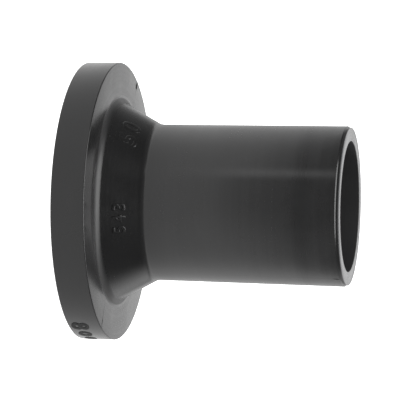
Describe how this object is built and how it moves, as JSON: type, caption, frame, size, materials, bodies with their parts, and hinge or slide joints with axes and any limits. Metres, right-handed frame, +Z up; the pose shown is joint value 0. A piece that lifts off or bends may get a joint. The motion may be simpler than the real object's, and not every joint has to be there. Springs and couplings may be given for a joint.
{
  "type": "lap joint stub end",
  "caption": "Lap joint stub end in black polyethylene: flat sealing collar, filleted conical neck and plain spigot with a through bore, to hold a loose backing flange.",
  "frame": {"origin": "centre of the sealing face on the collar, which the part stands on", "axes": "+Z up along the bore axis from the collar to the spigot's free end; the mould's parting plane holds the Z axis and lies 63.6 degrees round from -Y towards +X"},
  "size_m": [0.088, 0.088, 0.0842],
  "materials": {
    "black_polyethylene": "satin moulded"
  },
  "bodies": {
    "root": {"stub_end": "black_polyethylene"}
  },
  "joints": []
}
